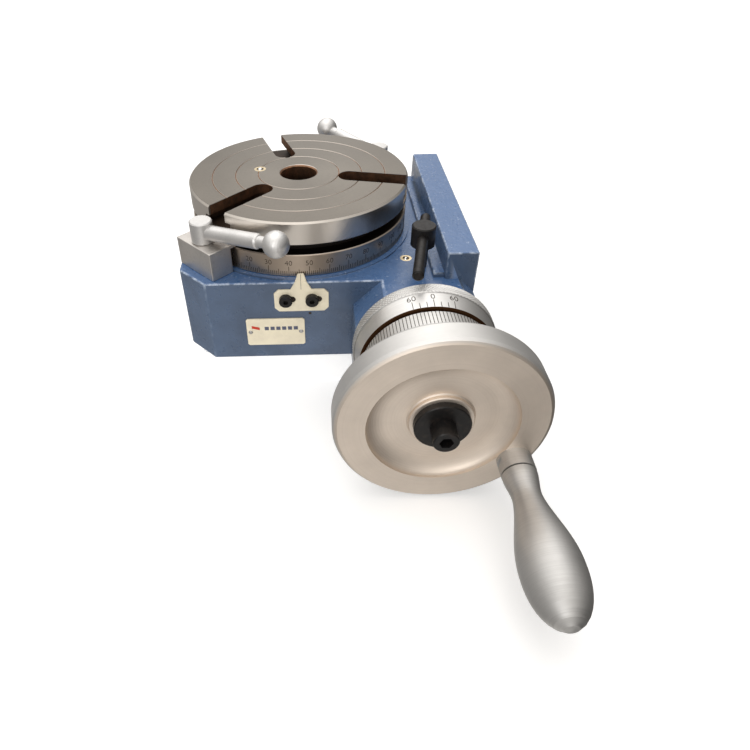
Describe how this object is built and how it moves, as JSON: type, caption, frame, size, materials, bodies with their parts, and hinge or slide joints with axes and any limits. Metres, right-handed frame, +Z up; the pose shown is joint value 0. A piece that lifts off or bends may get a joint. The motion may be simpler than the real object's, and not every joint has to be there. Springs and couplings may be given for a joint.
{
  "type": "rotary table",
  "caption": "Rotary table for a milling machine: slotted round faceplate on an angle-foot casting, turned by a worm with a graduated dial and a cranked handwheel, held by two lever clamps.",
  "frame": {"origin": "where the faceplate's axis meets the plane of the base", "axes": "+Z up along the faceplate's axis, -Y towards the handwheel, +X towards the upright foot"},
  "size_m": [0.1577, 0.2838, 0.0959],
  "materials": {
    "body_paint": "satin",
    "ground_steel": "satin",
    "satin_nickel": "satin",
    "machined_steel": "satin",
    "satin_aluminium": "satin",
    "dial_aluminium": "satin",
    "black_oxide": "satin",
    "bronze": "satin",
    "brass": "satin",
    "plate_cream": "satin",
    "cast_cover": "matt"
  },
  "bodies": {
    "base": {"base_casting": "body_paint", "bottom_cover": "cast_cover", "cover_screws": "black_oxide", "thrust_washer": "bronze", "base_oiler_body": "brass", "base_oiler_ball": "machined_steel", "pointer_plate": "plate_cream", "pointer_screws": "black_oxide", "nameplate": "plate_cream", "nameplate_pins": "machined_steel", "clamp_block_front": "satin_nickel", "clamp_block_rear": "satin_nickel", "clamp_studs": "machined_steel", "sleeve_stop_screw": "black_oxide", "lock_pad": "brass"},
    "table": {"faceplate": "ground_steel", "worm_wheel": "bronze", "wheel_dowels": "machined_steel", "spindle_nut": "machined_steel", "nut_grub_screw": "black_oxide", "table_oiler_body": "brass", "table_oiler_ball": "machined_steel"},
    "sleeve": {"eccentric_sleeve": "machined_steel", "rear_bush": "bronze", "front_bush": "bronze", "thrust_cap": "machined_steel", "vernier_collar": "dial_aluminium", "collar_screws": "black_oxide"},
    "worm": {"worm_shaft": "machined_steel", "shaft_key": "machined_steel", "dial_hub": "machined_steel", "dial_spring": "machined_steel", "handwheel": "satin_aluminium", "wheel_washer": "black_oxide", "wheel_cap_screw": "black_oxide", "crank_spindle": "satin_aluminium", "grip_retainer": "machined_steel"},
    "dial": {"dial_ring": "dial_aluminium"},
    "grip": {"crank_grip": "satin_aluminium"},
    "clamp_front": {"clamp_nut_front": "satin_nickel", "clamp_lever_front": "satin_nickel"},
    "clamp_rear": {"clamp_nut_rear": "satin_nickel", "clamp_lever_rear": "satin_nickel"},
    "lock": {"lock_screw": "black_oxide"},
    "lock_bar": {"lock_bar": "black_oxide"}
  },
  "joints": [
    {"name": "table_turn", "type": "hinge", "parent": "base", "child": "table", "pos_m": [0, 0, 0.04], "axis": [0, 0, 1], "continuous": true},
    {"name": "sleeve_turn", "type": "hinge", "parent": "base", "child": "sleeve", "pos_m": [0.05727, -0.06, 0.02337], "axis": [0, -1, 0], "range_deg": [0, 90]},
    {"name": "handwheel_turn", "type": "hinge", "parent": "sleeve", "child": "worm", "pos_m": [0.056, -0.1, 0.0221], "axis": [0, -1, 0], "continuous": true},
    {"name": "dial_turn", "type": "hinge", "parent": "worm", "child": "dial", "pos_m": [0.056, -0.1035, 0.0221], "axis": [0, -1, 0], "continuous": true},
    {"name": "grip_spin", "type": "hinge", "parent": "worm", "child": "grip", "pos_m": [0.08772, -0.1714, 0.00228], "axis": [0, -1, 0], "continuous": true},
    {"name": "front_clamp_turn", "type": "hinge", "parent": "base", "child": "clamp_front", "pos_m": [-0.0446, -0.04307, 0.06], "axis": [0, 0, 1], "range_deg": [-140, 0]},
    {"name": "rear_clamp_turn", "type": "hinge", "parent": "base", "child": "clamp_rear", "pos_m": [0.0446, 0.04307, 0.06], "axis": [0, 0, 1], "range_deg": [-140, 0]},
    {"name": "lock_turn", "type": "hinge", "parent": "base", "child": "lock", "pos_m": [0.05747, -0.04598, 0.055], "axis": [0, 0, 1], "range_deg": [-50, 35]},
    {"name": "lock_bar_slide", "type": "slide", "parent": "lock", "child": "lock_bar", "axis": [-0.2079, -0.9781, 0], "range_m": [-0.01, 0.008]}
  ],
  "couplings": [
    {"joint": "table_turn", "follows": "handwheel_turn", "ratio": 0.011111}
  ]
}
